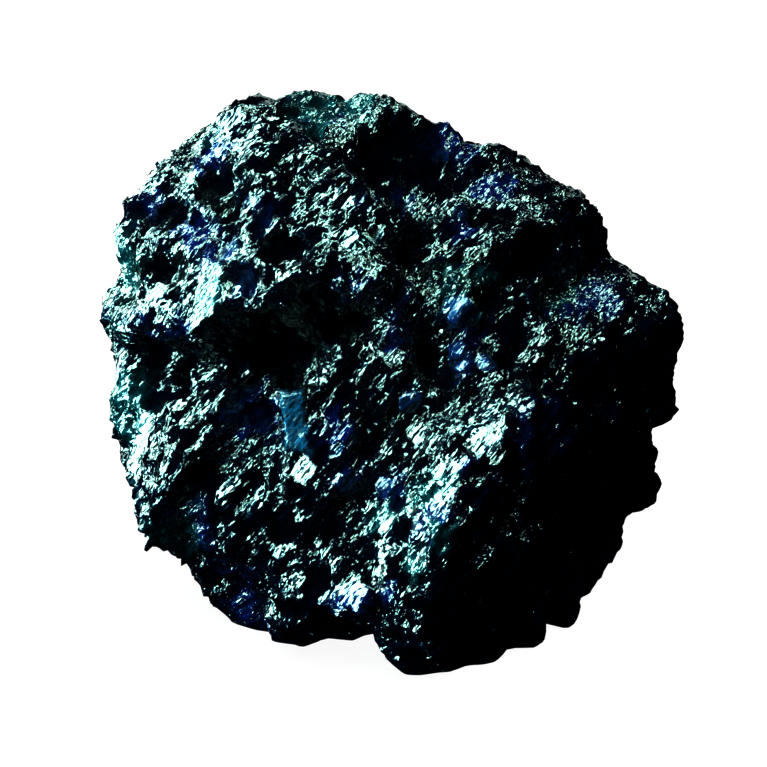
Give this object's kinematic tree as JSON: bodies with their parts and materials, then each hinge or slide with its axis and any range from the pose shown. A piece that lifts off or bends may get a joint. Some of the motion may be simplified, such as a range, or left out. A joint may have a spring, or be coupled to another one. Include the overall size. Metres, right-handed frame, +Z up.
{
  "type": "azurite mineral specimen",
  "caption": "Rough hand specimen of dark blue azurite: one irregular chunk with an overhanging upper slab, stepped right side and glittering granular faces, standing on a flat broken base.",
  "frame": {"origin": "middle of the bounding box, on the flat broken base the chunk stands on", "axes": "+X to the right along the longest extent, seen from the front; -Y is the front, with the overhanging slab at its upper left; +Z up"},
  "size_m": [0.0802, 0.064, 0.0703],
  "materials": {
    "azurite": "rough broken crystalline mineral, near-black navy with azure blue and teal patches, vitreous glitter on small flat faces"
  },
  "bodies": {
    "root": {"azurite_chunk": "azurite"}
  },
  "joints": []
}
